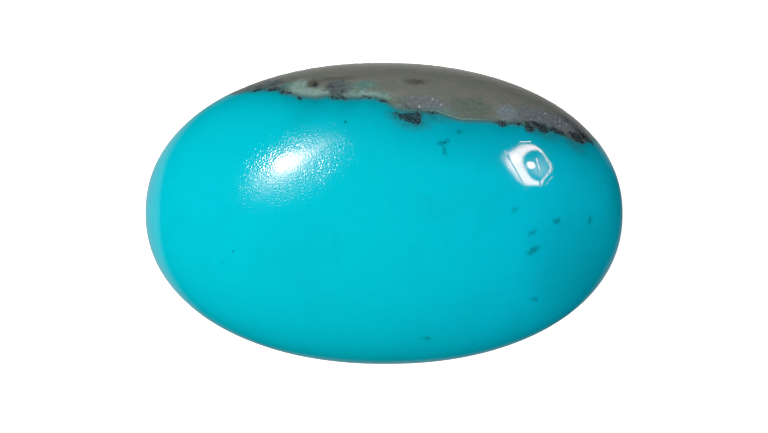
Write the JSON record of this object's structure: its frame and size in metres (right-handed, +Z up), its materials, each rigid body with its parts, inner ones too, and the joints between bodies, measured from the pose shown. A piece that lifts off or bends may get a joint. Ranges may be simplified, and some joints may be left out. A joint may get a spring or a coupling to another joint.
{
  "type": "polished turquoise cabochon with host rock",
  "caption": "Oval domed turquoise stone, polished, with a band of grey-brown host rock along one long edge and a flat back to rest on or set in a bezel.",
  "frame": {"origin": "centre of the flat back, on the surface that the stone rests on", "axes": "+X along the stone's length, +Y across it towards the edge with the host rock, +Z up out of the dome"},
  "size_m": [0.025, 0.0158, 0.0075],
  "materials": {
    "turquoise": "polished"
  },
  "bodies": {
    "root": {"turquoise_stone": "turquoise"}
  },
  "joints": []
}
